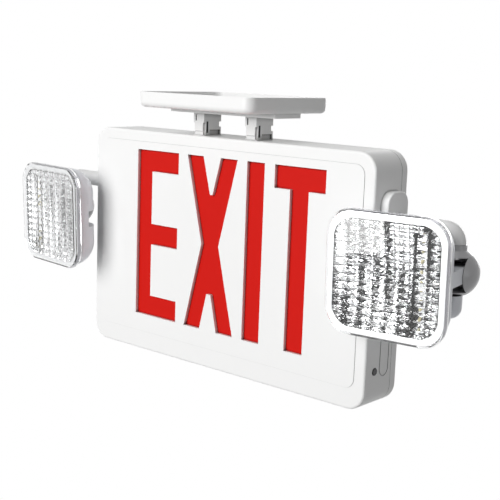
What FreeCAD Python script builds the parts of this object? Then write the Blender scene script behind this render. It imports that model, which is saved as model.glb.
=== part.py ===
"""Emergency exit light: a ceiling-hung EXIT sign with two swivelling lamp heads.

Frame: +Z up, origin at the middle of the canopy's rim, where it meets the
ceiling.  The lettered face looks along -Y and +X is the viewer's right.
All sizes are in millimetres and are kept in the sheet called Sizes.
"""
import FreeCAD, Part
import math
import os
import Sketcher
from FreeCAD import Placement, Rotation, Vector

doc = FreeCAD.newDocument("emergency_exit_light")
sheet = doc.addObject("Spreadsheet::Sheet", "Sizes")

SIZES = {
    # sign housing
    "housing_width": 317.5, "housing_height": 203.0, "housing_drop": 36.2,
    "face_offset": 14.0, "cover_depth": 36.5, "plate_depth": 8.5,
    "housing_corner": 16.0, "housing_wall": 2.5, "face_wall": 3.0,
    "edge_round": 2.0, "seam_gap": 0.4, "lip_reach": 5.0, "lip_wall": 1.5,
    "fit_gap": 0.2,
    # raised panel round the legend
    "panel_step": 0.6, "panel_border": 10.0, "panel_below": 17.5,
    "panel_corner": 8.0,
    # stencilled legend
    "letter_height": 152.4, "letter_stroke": 19.05, "letter_width": 52.2,
    "cross_width": 58.4, "cross_waist": 10.0, "upper_notch": 1.4,
    "lower_notch": 2.3, "notch_depth": 32.5, "letter_gap": 10.8,
    "legend_drop": 17.0, "legend_shift": 6.0,
    # canopy
    "canopy_width": 128.7, "canopy_depth": 103.0, "canopy_height": 13.0,
    "canopy_corner": 9.0, "canopy_round": 4.5, "canopy_wall": 2.2, "pedestal_front": 15.5,
    "pedestal_back": 19.0, "pedestal_height": 3.8, "leg_spacing": 59.4,
    "leg_width": 12.3, "leg_front": 10.0, "leg_back": 11.5,
    "leg_slot": 2.3, "foot_width": 8.0, "foot_reach": 5.0,
    "box_spacing": 88.9, "box_hole_radius": 2.3, "wire_bore_radius": 3.0,
    # side arms
    "flange_proud": 7.0, "flange_setback": 9.5, "flange_depth": 27.5,
    "flange_height": 47.0, "flange_corner": 10.0, "arm_setback": 23.2,
    "arm_drop": 53.5, "arm_radius": 7.0, "arm_bore": 4.5,
    "elbow_radius": 9.2, "arm_reach": 58.9, "arm_screw_spacing": 34.0,
    # swivel and knuckle, about the ball's centre
    "pivot_below_arm": 30.5, "ball_radius": 18.6, "shoulder_rise": 13.2,
    "neck_rise": 17.0, "ball_floor": 15.8, "pocket_half_width": 12.3,
    "pocket_roof": 12.6, "pocket_floor": 12.9, "pocket_back": 8.4, "ring_radius": 8.0,
    "ring_height": 4.0, "running_gap": 0.05,
    "swivel_head_radius": 6.0, "pin_grip": 6.0, "swivel_head_height": 2.4, "cap_radius": 9.0,
    "cap_depth": 18.2, "cap_forward": 5.0, "cap_round": 8.4, "tilt_pin_radius": 2.2,
    # lamp heads, about the ball's centre
    "head_yaw": 7.0, "head_tilt": 2.0, "barrel_radius": 7.8,
    "neck_above": 7.0, "neck_below": 5.0, "head_offset": 32.4, "lens_width": 97.7,
    "lens_height": 94.7, "lens_corner": 19.6, "lens_front": 50.6,
    "lens_depth": 4.8, "lens_wall": 1.8, "lens_round": 2.2,
    "case_inset": 1.1, "case_back": 21.1, "case_corner": 23.5,
    "case_round": 22.0, "case_wall": 2.0, "slot_height": 14.6,
    "slot_depth": 14.5, "reflector_margin": 5.5, "reflector_corner": 18.0, "reflector_trim": 19.0,
    "reflector_sheet": 1.2, "facet_depth": 1.2, "dish_depth": 4.0, "pillow_margin": 6.5,
    "pillow_rise": 1.4,
    # works inside and small parts
    "button_radius": 3.0, "button_proud": 0.8,
    "button_setback": 13.7, "button_height": 31.2, "button_gap": 0.2,
    "knockout_width": 12.5, "knockout_length": 60.0,
    "knockout_height": 25.4, "knockout_setback": 20.0,
    "knockout_line": 0.9, "knockout_cut": 0.5, "board_thickness": 1.6,
    "screw_radius": 1.5, "screw_head_radius": 3.0,
    # diffuser and emitter strips
    "diffuser_margin": 8.0, "diffuser_sheet": 2.0, "strip_setback": 12.0,
    "strip_edge": 6.0, "strip_height": 10.0, "led_side": 4.0, "led_height": 1.0,
    "post_radius": 3.0, "post_inset": 8.0,
    # control board
    "card_start": 20.0, "card_length": 90.0, "card_height": 60.0,
    "card_standoff": 8.0, "card_post_radius": 2.5, "card_post_inset": 5.0,
    "relay_start": 66.0, "relay_length": 20.0, "relay_depth": 12.0,
    "relay_level": 4.0, "relay_height": 16.0, "header_start": 28.0,
    "header_length": 32.0, "header_depth": 8.0, "header_level": 26.0,
    # transformer
    "core_width": 46.0, "core_height": 40.0, "core_depth": 24.0,
    "core_foot_sheet": 1.0, "core_foot_reach": 9.0, "bobbin_depth": 29.0,
    "bobbin_lift": 3.0, "bobbin_inset": 8.0, "bobbin_proud": 4.0,
    # battery
    "cell_radius": 11.0, "cell_length": 43.0, "cell_lift": 15.0,
    "cell_cap_height": 1.0, "cell_cap_radius": 4.0, "strap_width": 18.0,
    "strap_sheet": 1.5,
}
EMITTERS = 9
for row, (name, value) in enumerate(SIZES.items(), start=1):
    sheet.set(f"A{row}", name)
    sheet.set(f"B{row}", str(value))
    sheet.setAlias(f"B{row}", name)
doc.recompute()


class Size:
    """A number together with the sheet expression that it comes from."""

    def __init__(self, number, text=None):
        self.number = float(number)
        self.text = text or repr(float(number))

    def join(self, other, sign, number):
        return Size(number, f"({self.text} {sign} {as_size(other).text})")

    def __add__(self, other):
        return self.join(other, "+", self.number + as_size(other).number)

    def __sub__(self, other):
        return self.join(other, "-", self.number - as_size(other).number)

    def __mul__(self, other):
        return self.join(other, "*", self.number * as_size(other).number)

    def __truediv__(self, other):
        return self.join(other, "/", self.number / as_size(other).number)

    def __neg__(self):
        return Size(-self.number, f"(-1 * {self.text})")


def as_size(value):
    return value if isinstance(value, Size) else Size(value)


def size(name):
    return Size(sheet.get(name), f"Sizes.{name}")


# ---------------------------------------------------------------- builders

AXES = {"x": Rotation(Vector(0, 0, 1), Vector(1, 0, 0)),
        "y": Rotation(Vector(0, 0, 1), Vector(0, 1, 0)),
        "z": Rotation()}


def bind(thing, **sizes):
    """Tie properties of an object to the sheet."""
    for prop, value in sizes.items():
        thing.setExpression(prop, as_size(value).text)
    return thing


def move(thing, x, y, z):
    """Tie an object's place to the sheet; its turn stays as it is."""
    for axis, value in zip("xyz", (x, y, z)):
        thing.setExpression(f"Placement.Base.{axis}", as_size(value).text)
    return thing


def block(name, x, y, z):
    """A box between a low and a high value on each axis."""
    box = doc.addObject("Part::Box", name)
    spans = [as_size(high) - low for low, high in (x, y, z)]
    bind(box, Length=spans[0], Width=spans[1], Height=spans[2])
    return move(box, x[0], y[0], z[0])


def rod(name, axis, low, high, centre, radius):
    """A round bar along an axis; centre gives the other two coordinates."""
    bar = doc.addObject("Part::Cylinder", name)
    bar.Placement = Placement(Vector(), AXES[axis])
    bind(bar, Radius=radius, Height=as_size(high) - low)
    place = list(centre)
    place.insert("xyz".index(axis), low)
    return move(bar, *place)


def cut(name, base, *tools):
    """The base less every tool."""
    doc.recompute()
    result = doc.addObject("Part::Cut", name)
    result.Base = base
    result.Tool = tools[0] if len(tools) == 1 else fuse(name + "_tools", *tools)
    return result


def fuse(name, *pieces):
    result = doc.addObject("Part::MultiFuse", name)
    result.Shapes = list(pieces)
    return result


def common(name, *pieces):
    result = doc.addObject("Part::MultiCommon", name)
    result.Shapes = list(pieces)
    return result


def soften(name, base, radius, chosen):
    """Round the edges for which chosen(edge) is true."""
    doc.recompute()
    result = doc.addObject("Part::Fillet", name)
    result.Base = base
    reach = as_size(radius).number
    edges = enumerate(base.Shape.Edges, start=1)
    result.Edges = [(place, reach, reach) for place, edge in edges if chosen(edge)]
    return result


def along(axis):
    """Picks straight edges that run along an axis."""
    pointing = AXES[axis].multVec(Vector(0, 0, 1))

    def chosen(edge):
        if not isinstance(edge.Curve, Part.Line):
            return False
        return abs(edge.tangentAt(edge.FirstParameter).dot(pointing)) > 0.999
    return chosen


def at(axis, place):
    """Picks edges that lie wholly in the plane where axis equals place."""
    letter = axis.upper()
    level = as_size(place).number

    def chosen(edge):
        box = edge.BoundBox
        low, high = getattr(box, letter + "Min"), getattr(box, letter + "Max")
        return abs(low - level) < 1e-4 and abs(high - level) < 1e-4
    return chosen


def slab(name, axis, x, y, z, corner):
    """A box whose four edges along an axis are rounded."""
    return soften(name, block(name + "_block", x, y, z), corner, along(axis))


def inset(span, amount):
    """A span drawn in at both ends."""
    return as_size(span[0]) + amount, as_size(span[1]) - amount


def outline(name, points):
    """A closed sketch of straight lines on the XZ plane, tied to the sheet."""
    sketch = doc.addObject("Sketcher::SketchObject", name)
    sketch.Placement = Placement(Vector(), Rotation(Vector(1, 0, 0), 90))
    corners = [Vector(x.number, z.number, 0) for x, z in points]
    count = len(corners)
    for first in range(count):
        ends = corners[first], corners[(first + 1) % count]
        sketch.addGeometry(Part.LineSegment(*ends), False)
    Rule = Sketcher.Constraint
    for first in range(count):
        sketch.addConstraint(Rule("Coincident", first, 2, (first + 1) % count, 1))
    for first, (x, z) in enumerate(points):
        for kind, value in (("DistanceX", x), ("DistanceY", z)):
            rule = sketch.addConstraint(Rule(kind, -1, 1, first, 1, value.number))
            sketch.setExpression(f"Constraints[{rule}]", value.text)
    return sketch


def thicken(name, sketch, low, high):
    """Carry a sketch on the XZ plane from one Y to another."""
    solid = doc.addObject("Part::Extrusion", name)
    solid.Base = sketch
    solid.DirMode = "Custom"
    solid.Dir = Vector(0, 1, 0)
    solid.Solid = True
    bind(solid, LengthFwd=as_size(high) - low)
    return move(solid, 0, low, 0)


finished = []


def finish(label, thing):
    """Name a finished sub-part; its file takes the same name."""
    thing.Label = label
    finished.append(thing)
    return thing


def pair(name, thing):
    """The right-hand piece as made, and the left-hand one as its mirror image."""
    finish("right_" + name, thing)
    twin = doc.addObject("Part::Mirroring", thing.Name + "_mirror")
    twin.Source = thing
    twin.Normal = Vector(1, 0, 0)
    finish("left_" + name, twin)


# ------------------------------------------------------------ main datums

half_width = size("housing_width") / 2
top = -size("housing_drop")
bottom = top - size("housing_height")
face = -size("face_offset")
seam = face + size("cover_depth")
back = seam + size("plate_depth")
wall = size("housing_wall")
gap = size("fit_gap")
arm_y = face + size("arm_setback")
arm_z = top - size("arm_drop")
pivot_x = half_width + size("arm_reach")
pivot_z = arm_z - size("pivot_below_arm")
legend_top = top - size("legend_drop")
legend_bottom = legend_top - size("letter_height")

# ----------------------------------------------------------------- legend

stroke = size("letter_stroke")
letter = size("letter_width")
cross = size("cross_width")
space = size("letter_gap")
middle = (legend_top + legend_bottom) / 2
legend_width = letter * 2 + cross + stroke + space * 3
e_left = size("legend_shift") - legend_width / 2
x_left = e_left + letter + space
i_left = x_left + cross + space
t_left = i_left + stroke + space


def letter_e(left):
    stem, right = left + stroke, left + letter
    half = stroke / 2
    levels = [legend_top, legend_top - stroke, middle + half, middle - half,
              legend_bottom + stroke, legend_bottom]
    points = [(left, levels[0]), (right, levels[0])]
    for upper, lower in ((1, 2), (3, 4)):
        points += [(right, levels[upper]), (stem, levels[upper])]
        points += [(stem, levels[lower]), (right, levels[lower])]
    return points + [(right, levels[5]), (left, levels[5])]


def letter_x(left):
    right, centre = left + cross, left + cross / 2
    waist, depth = size("cross_waist"), size("notch_depth")
    up, down = size("upper_notch"), size("lower_notch")
    return [(left, legend_top), (left + stroke, legend_top),
            (centre - up, legend_top - depth), (centre + up, legend_top - depth),
            (right - stroke, legend_top), (right, legend_top),
            (centre + waist, middle), (right, legend_bottom),
            (right - stroke, legend_bottom),
            (centre + down, legend_bottom + depth),
            (centre - down, legend_bottom + depth),
            (left + stroke, legend_bottom), (left, legend_bottom),
            (centre - waist, middle)]


def letter_i(left):
    right = left + stroke
    return [(left, legend_top), (right, legend_top),
            (right, legend_bottom), (left, legend_bottom)]


def letter_t(left):
    right = left + letter
    near = left + (letter - stroke) / 2
    far, under = near + stroke, legend_top - stroke
    return [(left, legend_top), (right, legend_top), (right, under),
            (far, under), (far, legend_bottom), (near, legend_bottom),
            (near, under), (left, under)]


letters = []
for mark, points in (("e", letter_e(e_left)), ("x", letter_x(x_left)),
                     ("i", letter_i(i_left)), ("t", letter_t(t_left))):
    sketch = outline("letter_" + mark, points)
    letters.append(thicken("cut_" + mark, sketch, face - 1, face + 8))

# ------------------------------------------------------------ front cover

sides = (-half_width, half_width)
step = size("panel_step")
cover_outer = slab("cover_outer", "y", sides, (face + step, seam - size("seam_gap")),
             (bottom, top), size("housing_corner"))
cover_outer = soften("cover_rounded", cover_outer, size("edge_round"), at("y", face + step))
border = size("panel_border")
panel = slab("panel_raised", "y", inset(sides, border), (face, face + step + 0.5),
             (bottom + size("panel_below"), top - border), size("panel_corner"))
cavity = slab("cover_cavity", "y", inset(sides, wall),
              (face + size("face_wall"), seam + 1),
              (bottom + wall, top - wall), size("housing_corner") - wall)
button_y = face + size("button_setback")
button_z = bottom + size("button_height")
button_hole = rod("button_hole", "x", half_width - wall - 1, half_width + 1,
                  (button_y, button_z), size("button_radius") + size("button_gap"))

# the knock-out is a thin outline pressed into the right-hand side
knock_y = (face + size("knockout_setback"),
           face + size("knockout_setback") + size("knockout_width"))
knock_z = (bottom + size("knockout_height"),
           bottom + size("knockout_height") + size("knockout_length"))
line = size("knockout_line")
knock_x = (half_width - size("knockout_cut"), half_width + 1)
round_end = size("knockout_width") / 2 - 0.01
ring = cut("knockout_ring",
           slab("knockout_outer", "x", knock_x, knock_y, knock_z, round_end),
           slab("knockout_inner", "x", (half_width - 2, half_width + 2),
                inset(knock_y, line), inset(knock_z, line), round_end - line))

# bores in both sides let the lamp wires and arm screws through
side_holes = []
for side, (low, high) in (("left", (-half_width - 1, -half_width + wall + 1)),
                          ("right", (half_width - wall - 1, half_width + 1))):
    side_holes.append(rod(side + "_wire_hole", "x", low, high,
                          (arm_y, arm_z), size("arm_bore")))
    for mark, sign in (("upper", 1), ("lower", -1)):
        level = arm_z + size("arm_screw_spacing") * sign / 2
        side_holes.append(rod(side + mark + "_hole", "x", low, high,
                              (arm_y, level), size("screw_radius") + 0.2))

# slots in the top take the canopy's two feet
leg_x = size("leg_spacing") / 2
foot = size("foot_width") / 2
feet = []
for side, centre in (("left", -leg_x), ("right", leg_x)):
    feet.append(block(side + "_foot_slot",
                      (centre - foot - gap, centre + foot + gap),
                      (-size("leg_front") + 2 - gap, size("leg_back") - 2 + gap),
                      (top - wall - 1, top + 1)))

# ------------------------------------------------- back plate with its lip

lip = size("lip_wall")
plate = slab("plate_outer", "y", sides, (seam, back), (bottom, top),
             size("housing_corner"))
plate = soften("plate_rounded", plate, size("edge_round"), at("y", back))
hollow = slab("plate_hollow", "y", inset(sides, wall + gap + lip),
              (seam - 20, back - wall),
              inset((bottom, top), wall + gap + lip),
              size("housing_corner") - wall - gap - lip)
lip_solid = slab("plate_lip", "y", inset(sides, wall + gap),
                 (seam - size("lip_reach"), seam + 1),
                 inset((bottom, top), wall + gap),
                 size("housing_corner") - wall - gap)
# ----------------------------------------------------- the lit works inside

margin = size("diffuser_margin")
diffuser_front = face + size("face_wall")
diffuser = slab("diffuser_sheet", "y", inset(sides, margin),
                (diffuser_front, diffuser_front + size("diffuser_sheet")),
                inset((bottom, top), margin), size("housing_corner") - margin + 2)
finish("red_diffuser", diffuser)

board = size("board_thickness")
bar_y = (face + size("strip_setback"), face + size("strip_setback") + board)
upper_level = legend_top - size("strip_edge")
lower_level = legend_bottom + size("strip_edge")
half_strip, half_led = size("strip_height") / 2, size("led_side") / 2
for mark, level in (("top", upper_level), ("bottom", lower_level)):
    bulbs = [block(mark + "_strip", (e_left, -e_left), bar_y,
                   (level - half_strip, level + half_strip))]
    for place in range(EMITTERS):
        across = e_left + (-e_left * 2) * (place + 0.5) / EMITTERS
        bulbs.append(block(f"{mark}_led_{place}", (across - half_led, across + half_led),
                           (bar_y[0] - size("led_height"), bar_y[0]),
                           (level - half_led, level + half_led)))
    finish(mark + "_led_strip", fuse(mark + "_led_strip_solid", *bulbs))

floor = back - wall
posts = []
post_x = e_left + size("post_inset")
for name, across, level in (("upper_left", post_x, upper_level),
                            ("upper_right", -post_x, upper_level),
                            ("lower_left", post_x, lower_level),
                            ("lower_right", -post_x, lower_level)):
    posts.append(rod(name + "_post", "y", bar_y[1], floor, (across, level),
                     size("post_radius")))

# control board on four short posts
board_x = (size("card_start"), size("card_start") + size("card_length"))
board_z = (middle - size("card_height") / 2, middle + size("card_height") / 2)
board_y = (floor - size("card_standoff"), floor - size("card_standoff") + board)
card = [block("card", board_x, board_y, board_z)]
card_front = board_y[0]
for name, across, level, radius, height in (
        ("first_capacitor", 34, 16, 6, 14), ("second_capacitor", 52, 18, 4, 11),
        ("third_capacitor", 96, -18, 5, 9)):
    card.append(rod(name, "y", card_front - height, card_front,
                    (across, middle + level), radius))
relay_x, relay_z = size("relay_start"), middle + size("relay_level")
card.append(block("relay", (relay_x, relay_x + size("relay_length")),
                  (card_front - size("relay_depth"), card_front),
                  (relay_z, relay_z + size("relay_height"))))
header_x, header_z = size("header_start"), middle - size("header_level")
card.append(block("wire_header", (header_x, header_x + size("header_length")),
                  (card_front - size("header_depth"), card_front),
                  (header_z, header_z + size("header_depth"))))
finish("control_board", fuse("control_board_solid", *card))
card_inset = size("card_post_inset")
for side, across in (("near", board_x[0] + card_inset), ("far", board_x[1] - card_inset)):
    for mark, level in (("low", board_z[0] + card_inset), ("high", board_z[1] - card_inset)):
        posts.append(rod(f"{side}_{mark}_card_post", "y", board_y[1], floor,
                         (across, level), size("card_post_radius")))
plate_shell = cut("plate_body", fuse("plate_solid", plate, lip_solid), hollow)
finish("back_plate", fuse("plate_with_posts", plate_shell, *posts))

# transformer: laminated core round a bobbin, on a foot plate
core_middle = -half_width * 0.56
half_core, half_stack = size("core_width") / 2, size("core_height") / 2
core_x = (core_middle - half_core, core_middle + half_core)
core_z = (middle - half_stack, middle + half_stack)
foot_top = floor - size("core_foot_sheet")
core = block("core", core_x, (floor - size("core_depth"), foot_top), core_z)
bobbin = block("bobbin", inset(core_x, size("bobbin_inset")),
               (floor - size("bobbin_depth"), floor - size("bobbin_lift")),
               inset(core_z, -size("bobbin_proud")))
foot_plate = block("transformer_foot", inset(core_x, -size("core_foot_reach")),
                   (foot_top, floor), core_z)
finish("transformer", fuse("transformer_solid", core, bobbin, foot_plate))

# three battery cells end to end, held by a saddle strap
cell_radius, cell_length = size("cell_radius"), size("cell_length")
cell_y, cell_z = floor - cell_radius, bottom + wall + size("cell_lift")
cells = []
for place in (-1, 0, 1):
    low, high = cell_length * (place - 0.5), cell_length * (place + 0.5)
    cap_start = high - size("cell_cap_height")
    cells.append(rod(f"cell_{place + 2}", "x", low, cap_start,
                     (cell_y, cell_z), cell_radius))
    cells.append(rod(f"cell_cap_{place + 2}", "x", cap_start, high,
                     (cell_y, cell_z), size("cell_cap_radius")))
finish("battery_pack", fuse("battery_solid", *cells))
strap_reach = cell_radius + size("strap_sheet")
half_strap = size("strap_width") / 2
strap = block("strap_block", (-half_strap, half_strap), (cell_y - strap_reach, floor),
              (cell_z - strap_reach, cell_z + strap_reach))
strap_bore = rod("strap_bore", "x", -half_strap - 1, half_strap + 1,
                 (cell_y, cell_z), cell_radius)
strap_mouth = block("strap_mouth", (-half_strap - 1, half_strap + 1),
                    (cell_y, floor + 1),
                    (cell_z - cell_radius, cell_z + cell_radius))
finish("battery_strap", cut("strap_solid", strap, strap_bore, strap_mouth))

# test button, the switch behind it and the charge lamp
inside_x = half_width - wall
button_r = size("button_radius")
stem = rod("button_stem", "x", inside_x - 3, half_width + size("button_proud"),
           (button_y, button_z), button_r)
stem = soften("button_rounded", stem, 0.5, at("x", half_width + size("button_proud")))
collar = rod("button_collar", "x", inside_x - 1.3, inside_x - 0.1,
             (button_y, button_z), button_r + 1.2)
finish("test_button", fuse("test_button_solid", stem, collar))
switch = [block("switch_body", (inside_x - 12, inside_x - 5), (button_y - 4, button_y + 4),
                (button_z - 8, button_z + 8))]
for mark, sign in (("lower", -1), ("upper", 1)):
    level = button_z + 7 * sign
    switch.append(block(mark + "_switch_arm", (inside_x - 6, inside_x),
                        (button_y - 4, button_y + 4), (level - 1, level + 1)))
finish("test_switch", fuse("test_switch_solid", *switch))
lamp_x = half_width - 24
lamp_radius = 2.5
glow = rod("charge_stem", "z", bottom - 0.6, bottom + wall + 4,
           (lamp_x, button_y), lamp_radius)
glow = soften("charge_rounded", glow, 1.2, at("z", bottom - 0.6))
glow_rim = rod("charge_rim", "z", bottom + wall, bottom + wall + 1,
               (lamp_x, button_y), lamp_radius + 1)
finish("charge_indicator", fuse("charge_solid", glow, glow_rim))
charge_hole = rod("charge_hole", "z", bottom - 1, bottom + wall + 1,
                  (lamp_x, button_y), lamp_radius + 0.05)
cover = cut("cover_shell", fuse("cover_solid", cover_outer, panel), cavity,
            button_hole, charge_hole, ring, *side_holes, *feet, *letters)
finish("front_cover", cover)

# ----------------------------------------------------------------- canopy

tray_x = (-size("canopy_width") / 2, size("canopy_width") / 2)
tray_y = (-size("canopy_depth") / 2, size("canopy_depth") / 2)
tray_floor = -size("canopy_height")
tray_wall = size("canopy_wall")
tray = slab("tray_outer", "z", tray_x, tray_y, (tray_floor, 0), size("canopy_corner"))
tray = soften("tray_rounded", tray, size("canopy_round"), at("z", tray_floor))
tray_hollow = slab("tray_hollow", "z", inset(tray_x, tray_wall),
                   inset(tray_y, tray_wall), (tray_floor + tray_wall, 1),
                   size("canopy_corner") - tray_wall)
pedestal_floor = tray_floor - size("pedestal_height")
tray_bores = []
bracket_bores = []
for side, sign in (("left", -1), ("right", 1)):
    for bores, level in ((tray_bores, "tray"), (bracket_bores, "bracket")):
        name = f"{side}_{level}"
        bores.append(rod(name + "_wire_bore", "z", top - 8, 1,
                         (leg_x * sign, 3.5), size("wire_bore_radius")))
        bores.append(rod(name + "_box_hole", "z", pedestal_floor - 1, 1,
                         (size("box_spacing") / 2 * sign, 0), size("box_hole_radius")))
finish("canopy", cut("canopy_solid", tray, tray_hollow, *tray_bores))

# -------------------------------- bracket: a pedestal on two snap-in legs

pedestal = slab("pedestal", "z", inset(tray_x, size("canopy_round")),
                (-size("pedestal_front"), size("pedestal_back")),
                (pedestal_floor, tray_floor), 2)
bracket = [pedestal]
leg_front, leg_back = -size("leg_front"), size("leg_back")
for side, centre in (("left", -leg_x), ("right", leg_x)):
    half = size("leg_width") / 2
    outer_x, near_x, far_x = (centre - half - 1, centre + half + 1), centre - half, centre + half
    leg = block(side + "_leg_block", (near_x, far_x), (leg_front, leg_back),
                (top, pedestal_floor + 1))
    cuts = [
        block(side + "_leg_step", outer_x, (leg_front - 1, leg_front + 0.8), (top - 1, top + 4)),
        block(side + "_leg_notch", outer_x, (leg_back - 2.4, leg_back + 3),
              (top + 7.5, top + 12)),
        block(side + "_leg_slot", outer_x, (leg_front + 3.2, leg_front + 3.2 + size("leg_slot")),
              (top + 2.4, top + 12.2)),
        block(side + "_leg_slit", (near_x + 2.2, near_x + 3.4), (leg_front - 1, leg_front + 2),
              (top + 12.5, top + 18))]
    for mark, edge, sign in (("inner", near_x, 1), ("outer", far_x, -1)):
        skin = sorted((edge - 1 * sign, edge + 1.4 * sign), key=lambda place: place.number)
        cuts.append(block(f"{side}_{mark}_recess", skin, (leg_front + 7.5, leg_back - 1.2),
                          (top + 0.8, top + 5)))
        cuts.append(block(f"{side}_{mark}_front_step", skin, (leg_front - 1, leg_front + 2),
                          (top + 0.8, top + 11)))
    bracket.append(cut(side + "_leg", leg, *cuts))
    reach_y = (leg_front + 2, leg_back - 2)
    bracket.append(block(side + "_foot", (centre - foot, centre + foot), reach_y,
                         (top - size("foot_reach"), top + 1)))
    bracket.append(block(side + "_hook", (centre - foot, centre + foot),
                         (reach_y[1] - 1, reach_y[1] + 1.5),
                         (top - size("foot_reach"), top - wall - gap)))
finish("canopy_bracket", cut("bracket_solid", fuse("bracket_body", *bracket),
                             *bracket_bores))

# --------------------------------------------- arms, right side then mirror

arm_r, elbow_r = size("arm_radius"), size("elbow_radius")
flange_y = (face + size("flange_setback"),
            face + size("flange_setback") + size("flange_depth"))
flange_z = (arm_z - size("flange_height") / 2, arm_z + size("flange_height") / 2)
flange_x = (half_width, half_width + size("flange_proud"))
flange = slab("flange", "x", flange_x, flange_y, flange_z, size("flange_corner"))
flange = soften("flange_rounded", flange, 1.2, at("x", flange_x[1]))
neck_z = pivot_z + size("neck_rise") + size("ring_height")


def bent_bar(name, radius, low_x, low_z):
    """A bar out from the side, round the elbow and down to the swivel."""
    bend = doc.addObject("Part::Torus", name + "_bend")
    bind(bend, Radius1=elbow_r, Radius2=radius, Angle3=90)
    bend.Placement = Placement(Vector(), Rotation(Vector(1, 0, 0), 90))
    move(bend, pivot_x - elbow_r, arm_y, arm_z - elbow_r)
    level = rod(name + "_level", "x", low_x, pivot_x - elbow_r, (arm_y, arm_z), radius)
    drop = rod(name + "_drop", "z", low_z, arm_z - elbow_r, (pivot_x, arm_y), radius)
    return fuse(name, level, bend, drop)


arm_bore = size("arm_bore")
bar = bent_bar("arm_bar", arm_r, half_width + 1, neck_z)
way = bent_bar("arm_way", arm_bore, half_width - 1, neck_z - 1)
arm_holes = []
screws = []
for mark, sign in (("upper", 1), ("lower", -1)):
    level = arm_z + size("arm_screw_spacing") * sign / 2
    arm_holes.append(rod(mark + "_screw_bore", "x", half_width - 1, half_width + 5.2,
                         (arm_y, level), size("screw_radius")))
    shank = rod(mark + "_shank", "x", inside_x - 1, half_width + 5,
                (arm_y, level), size("screw_radius"))
    head = rod(mark + "_head", "x", inside_x - 2.2, inside_x, (arm_y, level),
               size("screw_head_radius"))
    screws.append(fuse(mark + "_arm_screw", shank, head))
pin_seat = rod("pin_seat", "z", neck_z - 1, neck_z + size("pin_grip"),
               (pivot_x, arm_y), arm_bore)
pair("arm", cut("arm_solid", fuse("arm_body", flange, bar), way, pin_seat, *arm_holes))
screw_pair = doc.addObject("Part::Compound", "arm_screw_pair")
screw_pair.Links = screws
pair("arm_screws", screw_pair)


# ------------------------- knuckle and lamp head, about the ball's centre

def carry(name, thing, tilted=False):
    """Turn a piece made about the ball's centre and carry it to the arm."""
    if tilted:
        lean = doc.addObject("Part::Compound", name + "_tilted")
        lean.Links = [thing]
        lean.Placement = Placement(Vector(), Rotation(Vector(1, 0, 0), 2))
        lean.setExpression("Placement.Rotation.Angle", "Sizes.head_tilt")
        thing = lean
    swing = doc.addObject("Part::Compound", name + "_placed")
    swing.Links = [thing]
    swing.Placement = Placement(Vector(), Rotation(Vector(0, 0, 1), 7))
    swing.setExpression("Placement.Rotation.Angle", "Sizes.head_yaw")
    pair(name, move(swing, pivot_x, arm_y, pivot_z))


ball_r = size("ball_radius")
ball = doc.addObject("Part::Sphere", "ball_sphere")
bind(ball, Radius=ball_r)
belt = block("ball_belt", (-ball_r - 1, ball_r + 1), (-ball_r - 1, ball_r + 1),
             (-size("ball_floor"), size("shoulder_rise")))
ball = common("ball_cut", ball, belt)
cone = doc.addObject("Part::Cone", "shoulder")
shoulder_radius = math.sqrt(ball_r.number ** 2 - size("shoulder_rise").number ** 2)
bind(cone, Radius1=Size(shoulder_radius,
                        "sqrt(Sizes.ball_radius ^ 2 - Sizes.shoulder_rise ^ 2)"),
     Radius2=size("ring_radius"), Height=size("neck_rise") - size("shoulder_rise"))
move(cone, 0, 0, size("shoulder_rise"))
ring_top = size("neck_rise") + size("ring_height")
neck_ring = rod("neck_ring", "z", size("neck_rise"), ring_top - 0.1, (0, 0),
                size("ring_radius"))
pocket_x = (-size("pocket_half_width"), size("pocket_half_width"))
pocket_z = (-size("pocket_floor"), size("pocket_roof"))
pocket = block("pocket", pocket_x, (-ball_r - 1, size("pocket_back")), pocket_z)
run = size("running_gap")
neck_bore = rod("neck_bore", "z", 0, ring_top + 1, (0, 0), arm_bore + run)
tilt_r = size("tilt_pin_radius")
tilt_bore = rod("tilt_bore", "x", -16, 16, (0, 0), tilt_r)
knuckle = cut("knuckle_solid", fuse("knuckle_body", ball, cone, neck_ring),
              pocket, neck_bore, tilt_bore)
carry("knuckle", knuckle)

tilt_pin = rod("tilt_pin", "x", -16, 16, (0, 0), tilt_r)
carry("tilt_pin", tilt_pin)

cap_z = (-size("ball_floor") - size("cap_depth"), -size("ball_floor"))
cap_y = -size("cap_forward")
cap = rod("cap_bar", "z", cap_z[0], cap_z[1], (0, cap_y), size("cap_radius"))
cap = soften("cap_rounded", cap, size("cap_round"), at("z", cap_z[0]))
coin_slot = block("cap_slot", (-10, 10), (cap_y - 0.8, cap_y + 0.8),
                  (cap_z[0] - 1, cap_z[0] + 2.2))
carry("knuckle_cap", cut("knuckle_cap_solid", cap, coin_slot))

# hollow swivel pin: pressed in the arm, headed below the knuckle's neck
pin_top = ring_top + size("pin_grip")
pin_head = rod("pin_head", "z", pocket_z[1] - size("swivel_head_height"),
               pocket_z[1] - 0.1, (0, 0), size("swivel_head_radius"))
pin_shank = rod("pin_shank", "z", pocket_z[1] - 1, pin_top, (0, 0), arm_bore)
pin_bore = rod("pin_bore", "z", 0, pin_top + 1, (0, 0), arm_bore - 1.8)
carry("swivel_pin", cut("swivel_pin_solid", fuse("pin_body", pin_head, pin_shank),
                        pin_bore))

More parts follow.
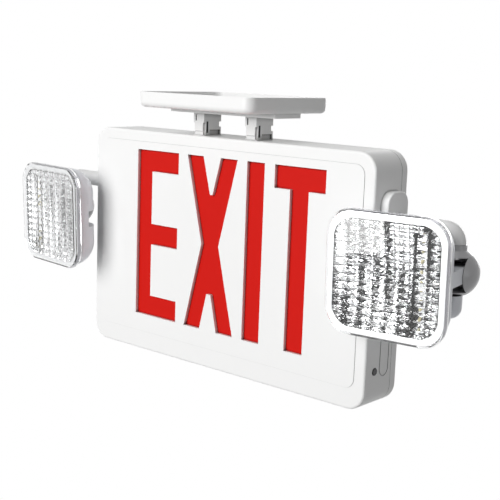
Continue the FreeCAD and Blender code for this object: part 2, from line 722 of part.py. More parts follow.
# the tongue: hinge barrel and neck, its end seated in the case's slot
front = -size("lens_front")
rim = front + size("lens_depth")
case_rear = -size("case_back")
slot_floor = case_rear - size("slot_depth")
barrel_x = inset(pocket_x, 0.3)
barrel = rod("barrel", "x", barrel_x[0], barrel_x[1], (0, 0), size("barrel_radius"))
neck = block("tongue_neck", barrel_x, (slot_floor, 0),
             (-size("neck_below"), size("neck_above")))
barrel_bore = rod("barrel_bore", "x", -20, 20, (0, 0), tilt_r + run)
carry("tongue", cut("tongue_solid", fuse("tongue_body", barrel, neck), barrel_bore),
      tilted=True)

# lamp case: a deep rounded cup with a slot across its back
lens_x = (-size("head_offset") - size("lens_width") / 2,
          -size("head_offset") + size("lens_width") / 2)
lens_z = (-size("lens_height") / 2, size("lens_height") / 2)
case_x, case_z = inset(lens_x, size("case_inset")), inset(lens_z, size("case_inset"))
case_wall = size("case_wall")
outer = slab("case_outer", "y", case_x, (rim, case_rear), case_z, size("case_corner"))
outer = soften("case_round", outer, size("case_round"), at("y", case_rear))
inner = slab("case_inner", "y", inset(case_x, case_wall),
             (rim - 1, case_rear - case_wall), inset(case_z, case_wall),
             size("case_corner") - case_wall)
inner = soften("case_inner_round", inner, size("case_round") - case_wall,
               at("y", case_rear - case_wall))
slot_half = size("slot_height") / 2
channel = block("case_channel", case_x, (slot_floor - case_wall, case_rear),
                (-slot_half - case_wall, slot_half + case_wall))
case_slot = block("case_slot", inset(case_x, -1), (slot_floor, case_rear + 1),
                  (-slot_half, slot_half))
shell = cut("case_shell", outer, inner)
channel = common("case_channel_trimmed", channel, outer)
carry("lamp_case", cut("case_solid", fuse("case_body", shell, channel), case_slot),
      tilted=True)

# clear lens: a shallow rounded dish over the case's mouth
lens_wall = size("lens_wall")
lens = slab("lens_outer", "y", lens_x, (front, rim), lens_z, size("lens_corner"))
lens = soften("lens_rounded", lens, size("lens_round"), at("y", front))
lens_hollow = slab("lens_hollow", "y", inset(lens_x, lens_wall),
                   (front + lens_wall, rim + 1), inset(lens_z, lens_wall),
                   size("lens_corner") - lens_wall)
lens_dish = cut("lens_dish", lens, lens_hollow)

# ------------------- faceted optics: both sheets are computed cell by cell

# shares of the mouth's width that the reflector's columns end at
COLUMNS = [0, 0.092, 0.202, 0.265, 0.329, 0.409, 0.519, 0.669, 0.744, 0.853, 0.917, 1]
ROWS = 12
WINDOW_COLUMN = 8
PILLOW_COLUMNS, PILLOW_ROWS = 8, 13
margin = size("reflector_margin")
mouth_x, mouth_z = inset(lens_x, margin), inset(lens_z, margin)
flange_front = rim - size("reflector_sheet")


def spaced(span, shares):
    """Places at the given shares of a span."""
    low, high = span[0].number, span[1].number
    return [low + (high - low) * share for share in shares]


def facet_sheet(name, across, up, height, peak_height, thickness, left_out):
    """A solid sheet of four-sided pyramids.

    across, up: the cells' edges along X and Z.  height(x, z): the sheet's Y.
    peak_height(column, row): how far each peak stands from the sheet along Y.
    thickness: the sheet's other face, along Y.  left_out: cells that are open.
    """
    faces, edges = [], {}
    behind = Vector(0, thickness, 0)

    def face(*corners):
        faces.append(Part.Face(Part.makePolygon([*corners, corners[0]])))

    for column in range(len(across) - 1):
        for row in range(len(up) - 1):
            if (column, row) in left_out:
                continue
            keys = [(column, row), (column + 1, row),
                    (column + 1, row + 1), (column, row + 1)]
            near = [Vector(across[i], height(across[i], up[j]), up[j]) for i, j in keys]
            x = (across[column] + across[column + 1]) / 2
            z = (up[row] + up[row + 1]) / 2
            peak = Vector(x, height(x, z) + peak_height(column, row), z)
            for first in range(4):
                second = (first + 1) % 4
                face(near[first], near[second], peak)
                shared = frozenset((keys[first], keys[second]))
                edges.setdefault(shared, []).append((near[first], near[second]))
            far = [corner + behind for corner in near]
            face(far[0], far[1], far[2])
            face(far[0], far[2], far[3])
    for uses in edges.values():
        if len(uses) == 1:
            first, second = uses[0]
            face(first, second, second + behind, first + behind)
    solid = Part.Solid(Part.Shell(faces))
    if solid.Volume < 0:
        solid.reverse()
    sheet_object = doc.addObject("Part::Feature", name)
    sheet_object.Shape = solid
    return sheet_object


# pillow field: a grid of low pyramids on the lens's inner face
pillow_inset = size("pillow_margin")
pillow_x, pillow_z = inset(lens_x, pillow_inset), inset(lens_z, pillow_inset)
inner_face = (front + lens_wall).number
corner_cells = {(column, row) for column in (0, PILLOW_COLUMNS - 1)
                for row in (0, PILLOW_ROWS - 1)}
pillows = facet_sheet(
    "pillows",
    spaced(pillow_x, [share / PILLOW_COLUMNS for share in range(PILLOW_COLUMNS + 1)]),
    spaced(pillow_z, [share / PILLOW_ROWS for share in range(PILLOW_ROWS + 1)]),
    lambda x, z: inner_face + 0.2,
    lambda column, row: size("pillow_rise").number,
    -0.8, corner_cells)
carry("lens", fuse("lens_solid", lens_dish, pillows), tilted=True)


def dish(x, z):
    """Y of the reflector: flat at the mouth's edge, deepest in its middle."""
    u = (2 * x - mouth_x[0].number - mouth_x[1].number) / (mouth_x[1] - mouth_x[0]).number
    w = (2 * z - mouth_z[0].number - mouth_z[1].number) / (mouth_z[1] - mouth_z[0]).number
    start = (flange_front.number + rim.number) / 2
    return start + size("dish_depth").number * (1 - u * u) * (1 - w * w)


def facet_rise(column, row):
    """Facets stand towards the lens, and lie nearly flat round the edge."""
    at_edge = column in (0, len(COLUMNS) - 2) or row in (0, ROWS - 1)
    return -0.2 if at_edge else -size("facet_depth").number


window = {(WINDOW_COLUMN, row) for row in range(1, ROWS - 1)}
facets = facet_sheet("facets", spaced(mouth_x, COLUMNS),
                     spaced(mouth_z, [row / ROWS for row in range(ROWS + 1)]),
                     dish, facet_rise, size("reflector_sheet").number, window)
trim = size("reflector_trim")
frame = slab("facet_frame", "y", inset(mouth_x, -0.2), (flange_front - 3, rim + 9),
             inset(mouth_z, -0.2), trim)
facets = common("facets_trimmed", facets, frame)
rim_plate = slab("reflector_flange", "y", inset(lens_x, lens_wall + 0.25),
                 (flange_front, rim), inset(lens_z, lens_wall + 0.25),
                 size("lens_corner") - lens_wall - 0.25)
mouth = slab("reflector_mouth", "y", inset(mouth_x, 0.6), (flange_front - 1, rim + 1),
             inset(mouth_z, 0.6), size("reflector_corner"))
carry("reflector", fuse("reflector_solid", cut("reflector_ring", rim_plate, mouth), facets),
      tilted=True)

# lamp board: a strip of emitters seen through the reflector's window
window_share = (COLUMNS[WINDOW_COLUMN] + COLUMNS[WINDOW_COLUMN + 1]) / 2
window_x = mouth_x[0] + (mouth_x[1] - mouth_x[0]) * window_share
card_y = rim + 3.75
strip = [block("lamp_card", (window_x - 7, window_x + 7), (card_y, card_y + board),
               inset(mouth_z, 4))]
for place in range(11):
    level = mouth_z[0] + (mouth_z[1] - mouth_z[0]) * (place + 1) / 12
    strip.append(block(f"emitter_{place}", (window_x - 1.6, window_x + 1.6),
                       (card_y - 0.8, card_y), (level - 1.6, level + 1.6)))
carry("lamp_board", fuse("lamp_board_solid", *strip), tilted=True)


# ----------------------------------------------------------------- output

doc.recompute()
os.makedirs("parts", exist_ok=True)
for thing in doc.Objects:
    assert "Invalid" not in thing.State and "Error" not in thing.State, thing.Name
for thing in finished:
    shape = thing.Shape
    assert not shape.isNull() and shape.isValid(), thing.Label
    solids = shape.Solids
    if len(solids) == 1:
        shape = solids[0]
    shape.exportStep("parts/" + thing.Label + ".step")
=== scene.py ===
"""Looks for the emergency exit light: finishes, small moulded pieces and the studio."""
import math
import bpy
import numpy as np
from mathutils import Matrix, Vector


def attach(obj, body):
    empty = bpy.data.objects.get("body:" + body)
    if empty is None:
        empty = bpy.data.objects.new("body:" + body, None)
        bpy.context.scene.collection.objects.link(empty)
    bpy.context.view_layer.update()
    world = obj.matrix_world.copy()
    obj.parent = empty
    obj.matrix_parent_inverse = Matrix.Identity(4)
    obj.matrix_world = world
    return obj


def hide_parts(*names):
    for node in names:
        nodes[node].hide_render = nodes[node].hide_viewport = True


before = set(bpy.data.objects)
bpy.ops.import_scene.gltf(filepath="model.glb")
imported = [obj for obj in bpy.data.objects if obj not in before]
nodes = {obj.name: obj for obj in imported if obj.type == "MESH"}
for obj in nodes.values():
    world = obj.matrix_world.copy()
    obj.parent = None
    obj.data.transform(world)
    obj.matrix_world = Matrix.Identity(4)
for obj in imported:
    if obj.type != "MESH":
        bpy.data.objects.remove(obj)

# ---------------------------------------------------------------- sign housing
# The front cover and back plate are two injection mouldings in white ABS with a
# fine matt texture.  The cover carries the cut-out legend; the plate clips in
# behind it and leaves an open seam all round.
# Share of its colour that a plastic keeps where its painted shade is deepest.
GAP_SHADE = 0.08


def plastic(name, colour, roughness, grain=900.0, relief=0.02, sheen_spread=0.06,
            shade_reach=0.0035):
    """Moulded plastic: one colour, darkened by painted shade in gaps and inner corners
    no wider than the shade's reach, a gloss that wanders slightly, and fine grain."""
    material = bpy.data.materials.new(name)
    material.use_nodes = True
    tree = material.node_tree
    shader = tree.nodes["Principled BSDF"]
    shader.inputs["IOR"].default_value = 1.5
    new, join = tree.nodes.new, tree.links.new
    # Painted shade: occlusion within the reach darkens the base colour towards GAP_SHADE of
    # itself.
    hollow = new("ShaderNodeAmbientOcclusion")
    hollow.inputs["Distance"].default_value = shade_reach
    painted_gap_shade = new("ShaderNodeValToRGB")
    painted_gap_shade.color_ramp.elements[0].position = 0.25
    painted_gap_shade.color_ramp.elements[0].color = (*(part * GAP_SHADE for part in colour), 1.0)
    painted_gap_shade.color_ramp.elements[1].position = 0.8
    painted_gap_shade.color_ramp.elements[1].color = (*colour, 1.0)
    join(hollow.outputs["AO"], painted_gap_shade.inputs["Fac"])
    join(painted_gap_shade.outputs["Color"], shader.inputs["Base Color"])
    where = new("ShaderNodeTexCoord")
    broad = new("ShaderNodeTexNoise")
    broad.inputs["Scale"].default_value = 14.0
    broad.inputs["Detail"].default_value = 3.0
    spread = new("ShaderNodeMapRange")
    spread.inputs["To Min"].default_value = roughness - sheen_spread
    spread.inputs["To Max"].default_value = roughness + sheen_spread
    fine = new("ShaderNodeTexNoise")
    fine.inputs["Scale"].default_value = grain
    fine.inputs["Detail"].default_value = 2.0
    bump = new("ShaderNodeBump")
    bump.inputs["Strength"].default_value = relief
    bump.inputs["Distance"].default_value = 0.0002
    join(where.outputs["Object"], broad.inputs["Vector"])
    join(where.outputs["Object"], fine.inputs["Vector"])
    join(broad.outputs["Fac"], spread.inputs["Value"])
    join(spread.outputs["Result"], shader.inputs["Roughness"])
    join(fine.outputs["Fac"], bump.inputs["Height"])
    join(bump.outputs["Normal"], shader.inputs["Normal"])
    return material


def dress(node, material):
    """Give one frame node a finish in all of its slots."""
    mesh = nodes[node].data
    if not mesh.materials:
        mesh.materials.append(material)
    for place in range(len(mesh.materials)):
        mesh.materials[place] = material


white_abs = plastic("white_abs", (0.88, 0.88, 0.875), 0.42)
for node in ("front_cover", "back_plate"):
    dress(node, white_abs)

# --------------------------------------------------------------------- diffuser
# A flat sheet of translucent red acrylic lies against the back of the legend and
# fills every letter with one even colour.
red_acrylic = plastic("red_acrylic", (0.62, 0.009, 0.005), 0.5, relief=0.0)
red_acrylic.node_tree.nodes["Principled BSDF"].inputs["Specular IOR Level"].default_value = 0.1
dress("red_diffuser", red_acrylic)

# ----------------------------------------------------------------- inside works
# Behind the diffuser: two emitter strips, a control board, a laminated mains
# transformer and three cells in a blue sleeve under a steel strap.
board_green = plastic("board_green", (0.03, 0.16, 0.07), 0.4, relief=0.01)
sleeve_blue = plastic("sleeve_blue", (0.06, 0.16, 0.42), 0.3, relief=0.01)
black_abs = plastic("black_abs", (0.012, 0.012, 0.013), 0.4)
indicator_red = plastic("indicator_red", (0.55, 0.03, 0.02), 0.15, relief=0.0)
plain_steel = plastic("plain_steel", (0.5, 0.5, 0.51), 0.35, relief=0.01)
plain_steel.node_tree.nodes["Principled BSDF"].inputs["Metallic"].default_value = 1.0
for node in ("top_led_strip", "bottom_led_strip", "control_board"):
    dress(node, board_green)
dress("battery_pack", sleeve_blue)
for node in ("transformer", "battery_strap"):
    dress(node, plain_steel)
for node in ("test_button", "test_switch"):
    dress(node, black_abs)
dress("charge_indicator", indicator_red)

# ----------------------------------------------------------------------- canopy
# Two white mouldings: a shallow tray for the ceiling box, and under it a bracket
# with a pedestal and two legs that snap into the top of the sign.
dress("canopy", white_abs)
# The bracket's white takes painted shade over a wider reach, darkening it near the sign and
# under the tray.
dress("canopy_bracket", plastic("bracket_white_abs", (0.88, 0.88, 0.875), 0.42,
                                shade_reach=0.009))

# --------------------------------------------------------------- arms and heads
# Each arm is a bent hollow bar on a flange; the knuckle turns on a hollow pin
# and the head tilts in it.  The arm is in the housing's white, the head's case
# and fittings are in a cooler white, and the knuckle's white is darkened to grey as painted
# shade.
# Its wide reach paints shade deep into the slot of the case and round the tongue in its
# pocket.
grey_white = plastic("grey_white_abs", (0.82, 0.84, 0.88), 0.34, shade_reach=0.016)
# The knuckle: white plastic with its colour lowered to grey, painted shade.
knuckle_painted_shade = plastic("knuckle_painted_shade_abs", (0.48, 0.48, 0.49), 0.22)
for side in ("left", "right"):
    dress(f"{side}_arm", white_abs)
    dress(f"{side}_knuckle", knuckle_painted_shade)
    for piece in ("knuckle_cap", "tongue", "lamp_case"):
        dress(f"{side}_{piece}", grey_white)
    for piece in ("arm_screws", "swivel_pin", "tilt_pin"):
        dress(f"{side}_{piece}", plain_steel)

# ----------------------------------------------------------------------- lenses
# Each lamp is closed by one clear polycarbonate moulding: a shallow rounded dish
# whose inner face is a field of small pillow lenses inside a plain margin.  It is
# bonded over the mouth of the case.
BALL = (0.21765, 0.0092, -0.1202)
HEAD_TURN, HEAD_LEAN = math.radians(7.0), math.radians(2.0)
LENS_MIDDLE = -0.0324
LENS_FRONT = -0.0506
LENS_HALF = (0.04885, 0.04735)
LENS_CORNER = 0.0196
LENS_ROUND, LENS_WALL, LENS_SKIRT = 0.0022, 0.0018, 0.0048
PILLOWS = (8, 14)
PILLOW_STEPS, MARGIN_STEPS = (12, 8), 9
PILLOW_FIELD = (0.0425, 0.0412)
PILLOW_FIELD_CORNER = 0.015
PILLOW_RISE = 0.0012
PILLOW_SHARES = (0.55, 0.45)


def head_place(points, side):
    """Lean points about X, turn them about Z, and carry them to a ball's centre.

    Points are made for the right-hand head; the left-hand one is its mirror image.
    """
    lean, turn = Matrix.Rotation(HEAD_LEAN, 3, "X"), Matrix.Rotation(HEAD_TURN, 3, "Z")
    moved = points @ np.array(turn @ lean).T + np.array(BALL)
    if side == "left":
        moved = moved * np.array((-1.0, 1.0, 1.0))
    return moved


def rounded_grid(u, v, half, corner):
    """Carry a unit square onto a rounded one: points past a corner's arc slide
    back along the line to the arc's centre until they lie on it."""
    x, z = u * half[0], v * half[1]
    from_x = np.abs(x) - (half[0] - corner)
    from_z = np.abs(z) - (half[1] - corner)
    reach = np.hypot(np.maximum(from_x, 0), np.maximum(from_z, 0))
    pull = np.where(reach > corner, corner / np.maximum(reach, 1e-9), 1.0)
    x = np.where(from_x > 0, np.sign(x) * (half[0] - corner + from_x * pull), x)
    z = np.where(from_z > 0, np.sign(z) * (half[1] - corner + from_z * pull), z)
    return x, z


def pillow_height(x, z):
    """Height of the pillow field: in each cell the weighted sum of two parabolas,
    each one at the cell's middle and zero at its edges.  Past the field it is zero."""
    across = (x / PILLOW_FIELD[0] + 1) / 2 * PILLOWS[0]
    up = (z / PILLOW_FIELD[1] + 1) / 2 * PILLOWS[1]
    bulge_x = 1 - (2 * (across - np.floor(across)) - 1) ** 2
    bulge_z = 1 - (2 * (up - np.floor(up)) - 1) ** 2
    _, corner_z = rounded_grid(x / PILLOW_FIELD[0], z / PILLOW_FIELD[1], PILLOW_FIELD,
                               PILLOW_FIELD_CORNER)
    inside = (np.abs(x) < PILLOW_FIELD[0]) & (np.abs(z) < PILLOW_FIELD[1])
    inside &= np.abs(corner_z - z) < 1e-6
    return np.where(inside, PILLOW_SHARES[0] * bulge_x + PILLOW_SHARES[1] * bulge_z, 0.0)


def square_grid(count_x, count_z):
    """A square's grid of points, from minus one to one across and up, with their
    indices in rows and the quads between them."""
    u, v = np.meshgrid(np.linspace(-1, 1, count_x), np.linspace(-1, 1, count_z))
    grid = np.arange(count_x * count_z).reshape(count_z, count_x)
    quads = np.stack((grid[:-1, :-1], grid[:-1, 1:], grid[1:, 1:], grid[1:, :-1]), axis=-1)
    return u.ravel(), v.ravel(), grid, quads


def loop_of(grid):
    """Indices of a grid's outer row of points, in order round the edge."""
    return np.concatenate((grid[0, :-1], grid[:-1, -1], grid[-1, :0:-1], grid[:0:-1, 0]))


def band(near, far, turned=False):
    """Quads between two loops of points, facing one way or turned to the other."""
    corners = [near, far, np.roll(far, -1), np.roll(near, -1)]
    if turned:
        corners = corners[:1] + corners[:0:-1]
    return np.stack(corners, axis=1)


def head_piece(name, side, points, faces, smooth=True):
    """A new object from points and faces made for the right-hand head.  The other
    is its mirror image, so there the faces run the other way round."""
    if side == "left":
        faces = [face[::-1] for face in faces]
    mesh = bpy.data.meshes.new(name)
    mesh.from_pydata(head_place(points, side).tolist(), [], [list(face) for face in faces])
    mesh.polygons.foreach_set("use_smooth", np.full(len(mesh.polygons), smooth))
    mesh.update()
    piece = bpy.data.objects.new(name, mesh)
    bpy.context.scene.collection.objects.link(piece)
    return piece


def lens_mesh(name, side):
    """One closed moulding: a flat front, a rounded edge, the side wall, the rim,
    the inner wall and the pillowed inner face, joined loop by loop."""
    counts = [PILLOWS[way] * PILLOW_STEPS[way] + MARGIN_STEPS for way in (0, 1)]
    u, v, grid, quads = square_grid(*counts)
    quads = quads.reshape(-1, 4)
    edge = loop_of(grid)

    def layer(inset, depth, chosen=slice(None)):
        half = (LENS_HALF[0] - inset, LENS_HALF[1] - inset)
        x, z = rounded_grid(u[chosen], v[chosen], half, LENS_CORNER - inset)
        return np.stack((x, np.full_like(x, LENS_FRONT) + depth, z), axis=1)

    front = layer(LENS_ROUND, 0.0)
    curve = [(LENS_ROUND * (1 - math.sin(angle)), LENS_ROUND * (1 - math.cos(angle)))
             for angle in np.linspace(0.3, math.pi / 2, 5)]
    steps = curve + [(0.0, LENS_SKIRT), (LENS_WALL, LENS_SKIRT)]
    loops = [layer(inset, depth, edge) for inset, depth in steps]
    inner = layer(LENS_WALL, LENS_WALL)
    inner[:, 1] += PILLOW_RISE * pillow_height(inner[:, 0], inner[:, 2])
    points = np.concatenate([front] + loops + [inner])
    points[:, 0] += LENS_MIDDLE

    ring, total = len(edge), len(front)
    inner_start = total + ring * len(loops)
    rows = [edge] + [total + ring * row + np.arange(ring) for row in range(len(loops))]
    rows.append(inner_start + edge)
    walls = [band(near, far) for near, far in zip(rows[:-1], rows[1:])]
    faces = np.concatenate([quads] + walls + [quads[:, ::-1] + inner_start])
    return head_piece(name, side, points, faces)


def plain(name, settings):
    """A finish that is the same all over, each value set on the shader's socket."""
    material = bpy.data.materials.new(name)
    material.use_nodes = True
    shader = material.node_tree.nodes["Principled BSDF"]
    for socket, value in settings.items():
        shader.inputs[socket].default_value = value
    return material


clear = plain("clear_polycarbonate", {"Base Color": (0.985, 0.99, 0.995, 1.0),
                                      "Transmission Weight": 1.0,
                                      "Roughness": 0.03, "IOR": 1.5})
for side in ("left", "right"):
    lens = lens_mesh(f"{side}_pillow_lens", side)
    lens.data.materials.append(clear)
    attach(lens, f"{side}_head_body")
    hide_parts(f"{side}_lens")

# ------------------------------------------------------------------- reflectors
# Behind each lens lies a moulded sheet with a vacuum-plated mirror face: a shallow
# dish of small facets.  Its colour, and the lamp board's, carries painted reflections in
# bright and dark flecks.  A plain rim frames it, and a window shows the plated lamp board.
REFLECTOR_FRONT, DISH_DEPTH = -0.0464, 0.004
FACET_RISE, SHEET = 0.0007, 0.0009
REFLECTOR_HALF = (0.04355, 0.04205)
REFLECTOR_CORNER = 0.019
REFLECTOR_CELLS, FACET_STEPS = (22, 28), 4
WINDOW = (0.744, 0.853, 1 / 12, 11 / 12)
BEZEL_SECTION = ((0.0019, -0.0461), (0.0019, -0.0487), (0.0062, -0.0487),
                 (0.0062, -0.0473), (0.0051, -0.0473), (0.0051, -0.0461))
BEZEL_STEPS, BEZEL_CORNER_SHARE = 97, 0.6
SLOW_SHARE, COLUMN_SHARE, FLECK_EDGE = 0.7, 0.16, 0.06


def reflector_mesh(name, side):
    """The dish sinks as the product of two parabolas; each facet stands on it as
    the smaller of two ridges, one across and one up."""
    count_x, count_z = [cells * FACET_STEPS + 1 for cells in REFLECTOR_CELLS]
    u, v, grid, quads = square_grid(count_x, count_z)
    x, z = rounded_grid(u, v, REFLECTOR_HALF, REFLECTOR_CORNER)
    sink = DISH_DEPTH * (1 - (x / REFLECTOR_HALF[0]) ** 2) * (1 - (z / REFLECTOR_HALF[1]) ** 2)
    across = (u + 1) / 2 * REFLECTOR_CELLS[0]
    up = (v + 1) / 2 * REFLECTOR_CELLS[1]
    ridge_x = 1 - np.abs(2 * (across - np.floor(across)) - 1)
    ridge_z = 1 - np.abs(2 * (up - np.floor(up)) - 1)
    facet = FACET_RISE * np.minimum(ridge_x, ridge_z)
    face = np.stack((x + LENS_MIDDLE, REFLECTOR_FRONT + sink - facet, z), axis=1)
    rear = face.copy()
    rear[:, 1] = REFLECTOR_FRONT + sink + SHEET
    share_x = (u.reshape(count_z, count_x)[:-1, :-1] + 1) / 2 + 0.5 / count_x
    share_z = (v.reshape(count_z, count_x)[:-1, :-1] + 1) / 2 + 0.5 / count_z
    open_cell = (share_x > WINDOW[0]) & (share_x < WINDOW[1])
    open_cell &= (share_z > WINDOW[2]) & (share_z < WINDOW[3])
    kept = quads[~open_cell]
    total = len(face)
    edge = loop_of(grid)
    columns, levels = np.where(open_cell.any(axis=0))[0], np.where(open_cell.any(axis=1))[0]
    hole = grid[levels[0]:levels[-1] + 2, columns[0]:columns[-1] + 2]
    rim = loop_of(hole)
    faces = np.concatenate((kept, kept[:, ::-1] + total, band(edge, edge + total),
                            band(rim, rim + total, turned=True)))
    return head_piece(name, side, np.concatenate((face, rear)), faces, smooth=False)


def plated(name, dark, light, coverage):
    """Mirror plating with painted reflections: flecks in its colour.  Noise along the rows
    is cut sharply in two; where it is cut moves with a wave that repeats in every column
    of pillows and with slow noise, so that one side of each column is darker, painted shade."""
    material = bpy.data.materials.new(name)
    material.use_nodes = True
    tree = material.node_tree
    shader = tree.nodes["Principled BSDF"]
    shader.inputs["Metallic"].default_value = 1.0
    shader.inputs["Roughness"].default_value = 0.14
    new, join = tree.nodes.new, tree.links.new
    where = new("ShaderNodeTexCoord")

    def noise(scale, detail, distortion=0.0):
        mapping = new("ShaderNodeMapping")
        mapping.inputs["Scale"].default_value = (scale[0], 0.0, scale[1])
        texture = new("ShaderNodeTexNoise")
        texture.inputs["Scale"].default_value = 1.0
        texture.inputs["Detail"].default_value = detail
        texture.inputs["Distortion"].default_value = distortion
        join(where.outputs["Object"], mapping.inputs["Vector"])
        join(mapping.outputs["Vector"], texture.inputs["Vector"])
        return texture.outputs["Fac"]

    def combine(first, second, share):
        node = new("ShaderNodeMath")
        node.operation = "MULTIPLY_ADD"
        node.inputs[1].default_value = share
        join(first, node.inputs[0])
        join(second, node.inputs[2])
        return node.outputs["Value"]

    bands = new("ShaderNodeTexWave")
    bands.wave_profile = "SIN"
    bands.bands_direction = "X"
    bands.inputs["Scale"].default_value = PILLOWS[0] / PILLOW_FIELD[0] / 2 * math.pi / 10
    bands.inputs["Distortion"].default_value = 0.6
    join(where.outputs["Object"], bands.inputs["Vector"])
    level = combine(noise((60.0, 14.0), 1.0), noise((320.0, 1400.0), 3.0, 0.8), SLOW_SHARE)
    level = combine(bands.outputs["Fac"], level, COLUMN_SHARE)
    ramp = new("ShaderNodeValToRGB")
    ramp.color_ramp.elements[0].position = coverage
    ramp.color_ramp.elements[0].color = (dark, dark, dark, 1)
    ramp.color_ramp.elements[1].position = coverage + FLECK_EDGE
    ramp.color_ramp.elements[1].color = (light, light, light, 1)
    join(level, ramp.inputs["Fac"])
    join(ramp.outputs["Color"], shader.inputs["Base Color"])
    return material


plain_plating = plain("plain_plating", {"Base Color": (0.95, 0.95, 0.95, 1.0),
                                        "Metallic": 1.0, "Roughness": 0.3})
# A darker copy of the plating: painted shade on the ring's outer side behind the skirt.
skirt_shaded_plating = plain("skirt_shaded_plating", {"Base Color": (0.38, 0.375, 0.40, 1.0),
                                        "Metallic": 1.0, "Roughness": 0.4})


def bezel_mesh(name, side):
    """A ring round the mirror face: its section fills the lens's skirt and laps
    the edge of the sheet.  Its outer side, seen through the skirt, takes a darker copy of the
    plating as painted shade."""
    u, v, grid, _ = square_grid(BEZEL_STEPS, BEZEL_STEPS)
    edge = loop_of(grid)
    loops = []
    for inset, depth in BEZEL_SECTION:
        half = (LENS_HALF[0] - inset, LENS_HALF[1] - inset)
        x, z = rounded_grid(u[edge], v[edge], half, LENS_CORNER - inset * BEZEL_CORNER_SHARE)
        loops.append(np.stack((x + LENS_MIDDLE, np.full_like(x, depth), z), axis=1))
    count = len(edge)
    rows = [row * count + np.arange(count) for row in range(len(loops))]
    faces = np.concatenate([band(near, far, turned=True)
                            for near, far in zip(rows, rows[1:] + rows[:1])])
    ring = head_piece(name, side, np.concatenate(loops), faces, smooth=False)
    ring.data.materials.append(plain_plating)
    ring.data.materials.append(skirt_shaded_plating)
    ring.data.polygons.foreach_set("material_index", np.arange(len(faces)) // count == 0)
    return ring


# Each lamp gets its own strength of painted reflections: the right one stark, the left one
# softer.
painted_glint_platings = {"right": plated("bright_plating_painted_glints", 0.01, 0.93, 0.91),
            "left": plated("soft_plating_painted_glints", 0.20, 0.96, 0.83)}
for side in ("left", "right"):
    dress(f"{side}_lamp_board", painted_glint_platings[side])
    sheet = reflector_mesh(f"{side}_plated_sheet", side)
    sheet.data.materials.append(painted_glint_platings[side])
    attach(sheet, f"{side}_head_body")
    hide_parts(f"{side}_reflector")
    bezel = bezel_mesh(f"{side}_bezel", side)
    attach(bezel, f"{side}_head_body")

# --------------------------------------------------------------------- emitters
# Eleven small yellow phosphor domes stand in a row on each lamp board and show
# through the reflector's window.
EMITTER_COUNT = 11
EMITTER_X, EMITTER_Y, EMITTER_SPAN = -0.00652, -0.04288, 0.0837
DOME_RADIUS, DOME_HEIGHT = 0.0010, 0.0007
DOME_ROWS, DOME_SIDES = 6, 16
phosphor = plastic("yellow_phosphor", (0.62, 0.56, 0.34), 0.3, relief=0.0)


def dome_row(side):
    """A row of domes: each is a low half ball, its height the cosine and its width
    the sine of the angle from its top, closed by a point at the top and one below."""
    tilt, round_it = np.meshgrid(np.linspace(0, math.pi / 2, DOME_ROWS + 1)[1:],
                                 np.linspace(0, 2 * math.pi, DOME_SIDES + 1)[:-1],
                                 indexing="ij")
    dome = np.stack((DOME_RADIUS * np.sin(tilt) * np.cos(round_it),
                     -DOME_HEIGHT * np.cos(tilt),
                     DOME_RADIUS * np.sin(tilt) * np.sin(round_it)), axis=-1).reshape(-1, 3)
    dome = np.concatenate((dome, [(0.0, -DOME_HEIGHT, 0.0), (0.0, 0.0, 0.0)]))
    rows = np.arange(DOME_ROWS * DOME_SIDES).reshape(DOME_ROWS, DOME_SIDES)
    top, under = len(dome) - 2, len(dome) - 1
    faces = [(top, near, far) for near, far in zip(rows[0], np.roll(rows[0], -1))]
    for upper, lower in zip(rows[:-1], rows[1:]):
        faces += list(band(upper, lower))
    faces += [(under, far, near) for near, far in zip(rows[-1], np.roll(rows[-1], -1))]
    points, all_faces = [], []
    for place in range(EMITTER_COUNT):
        level = EMITTER_SPAN * ((place + 1) / (EMITTER_COUNT + 1) - 0.5)
        points.append(dome + np.array((EMITTER_X, EMITTER_Y, level)))
        all_faces += [[int(corner) + len(dome) * place for corner in face] for face in faces]
    return head_piece(f"{side}_emitters", side, np.concatenate(points), all_faces)


for side in ("left", "right"):
    emitters = dome_row(side)
    emitters.data.materials.append(phosphor)
    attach(emitters, f"{side}_head_body")

# ----------------------------------------------------------------------- studio
# A white room: pale floor well below the sign, broad soft lamps, and the camera
# at the height of the canopy, to the reader's right.
scene = bpy.context.scene
scene.view_settings.view_transform = "Standard"


def white_to_eye(tree, surface, socket, light):
    """Show plain white to the eye, to gloss and to glass; light the rest evenly."""
    new, join = tree.nodes.new, tree.links.new
    path = new("ShaderNodeLightPath")
    seen = path.outputs["Is Camera Ray"]
    for ray in ("Is Transmission Ray", "Is Glossy Ray"):
        either = new("ShaderNodeMath")
        either.operation = "MAXIMUM"
        join(seen, either.inputs[0])
        join(path.outputs[ray], either.inputs[1])
        seen = either.outputs[0]
    mix = new("ShaderNodeMixShader")
    glow = new(surface)
    glow.inputs["Color"].default_value = (1, 1, 1, 1)
    glow.inputs["Strength"].default_value = 1.0
    join(seen, mix.inputs[0])
    join(light, mix.inputs[1])
    join(glow.outputs[0], mix.inputs[2])
    join(mix.outputs[0], socket)


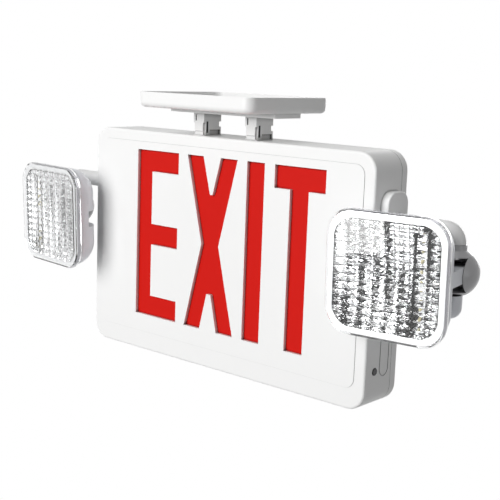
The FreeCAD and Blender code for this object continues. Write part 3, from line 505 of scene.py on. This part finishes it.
world = bpy.data.worlds.new("studio_world")
world.use_nodes = True
scene.world = world
room = world.node_tree.nodes["Background"]
room.inputs["Color"].default_value = (1, 1, 1, 1)
room.inputs["Strength"].default_value = 0.18
white_to_eye(world.node_tree, "ShaderNodeBackground",
             world.node_tree.nodes["World Output"].inputs["Surface"], room.outputs[0])

bpy.ops.mesh.primitive_plane_add(size=12.0, location=(0, 0, -1.4))
floor = bpy.context.object
floor.name = "studio_floor"
paper = plain("floor_paper", {"Base Color": (0.6, 0.6, 0.6, 1), "Roughness": 0.9})
white_to_eye(paper.node_tree, "ShaderNodeEmission",
             paper.node_tree.nodes["Material Output"].inputs["Surface"],
             paper.node_tree.nodes["Principled BSDF"].outputs[0])
floor.data.materials.append(paper)


def soft_lamp(name, place, target, size, power):
    """A square soft box that faces a point."""
    data = bpy.data.lights.new(name, "AREA")
    data.size = size
    data.energy = power
    lamp = bpy.data.objects.new(name, data)
    scene.collection.objects.link(lamp)
    lamp.location = place
    toward = Vector(target) - Vector(place)
    lamp.rotation_euler = toward.to_track_quat("-Z", "Y").to_euler()


middle = (0.0, 0.0, -0.12)
soft_lamp("front_box", (-0.25, -2.0, 0.45), middle, 1.4, 40)
soft_lamp("top_box", (0.0, -0.2, 1.9), middle, 1.2, 6)
soft_lamp("side_box", (0.8, -0.05, -0.08), (0.16, 0.01, -0.11), 0.25, 0.25)
soft_lamp("glare_box", (-0.53, -1.87, -0.51), (0.1714, -0.0485, -0.0916), 0.12, 0.5)
soft_lamp("back_box", (-0.5, 2.2, 0.3), middle, 1.2, 12)

camera_data = bpy.data.cameras.new("camera")
camera_data.lens = 74.17
camera_data.sensor_width = 36.0
camera = bpy.data.objects.new("camera", camera_data)
scene.collection.objects.link(camera)
right = Vector((0.7514, 0.6589, 0.0359)).normalized()
back = Vector((0.6448, -0.7446, 0.1728)).normalized()
up = back.cross(right).normalized()
right = up.cross(back)
turn = Matrix((right, up, back)).transposed().to_4x4()
camera.matrix_world = Matrix.Translation((0.59205, -0.6545, 0.0217)) @ turn
scene.camera = camera
